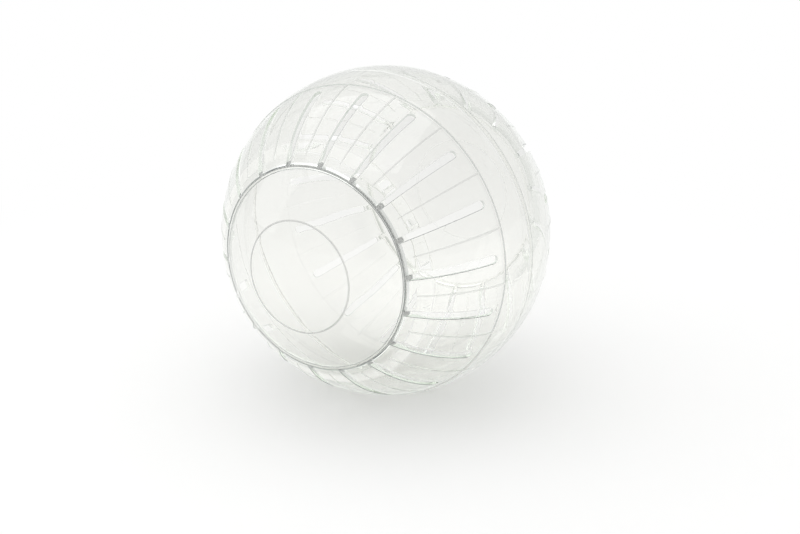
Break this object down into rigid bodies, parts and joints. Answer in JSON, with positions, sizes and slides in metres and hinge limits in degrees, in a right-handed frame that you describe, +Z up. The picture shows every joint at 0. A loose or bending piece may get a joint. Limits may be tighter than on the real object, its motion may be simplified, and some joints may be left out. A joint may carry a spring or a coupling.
{
  "type": "hamster exercise ball",
  "caption": "Clear plastic exercise ball for a small pet: slotted half shells plug together at a plain middle band, with a domed lift-off door lugged into the outer end of each.",
  "frame": {"origin": "centre of the ball", "axes": "+Y along the common axis of both doors, from the front door to the rear door; +Z up; +X to the right seen from the front"},
  "size_m": [0.178, 0.1772, 0.178],
  "materials": {
    "clear_shell": "clear moulded plastic, glossy, with slight flow marks",
    "clear_door": "clear moulded plastic, glossy"
  },
  "bodies": {
    "front_shell": {"front_half_shell": "clear_shell"},
    "rear_shell": {"rear_half_shell": "clear_shell"},
    "front_door": {"front_door": "clear_door"},
    "rear_door": {"rear_door": "clear_door"}
  },
  "joints": [
    {"name": "halves_apart", "type": "slide", "parent": "front_shell", "child": "rear_shell", "axis": [0, 1, 0], "range_m": [0, 0.12]},
    {"name": "front_door_off", "type": "slide", "parent": "front_shell", "child": "front_door", "axis": [0, -1, 0], "range_m": [0, 0.1]},
    {"name": "rear_door_off", "type": "slide", "parent": "rear_shell", "child": "rear_door", "axis": [0, 1, 0], "range_m": [0, 0.1]}
  ]
}
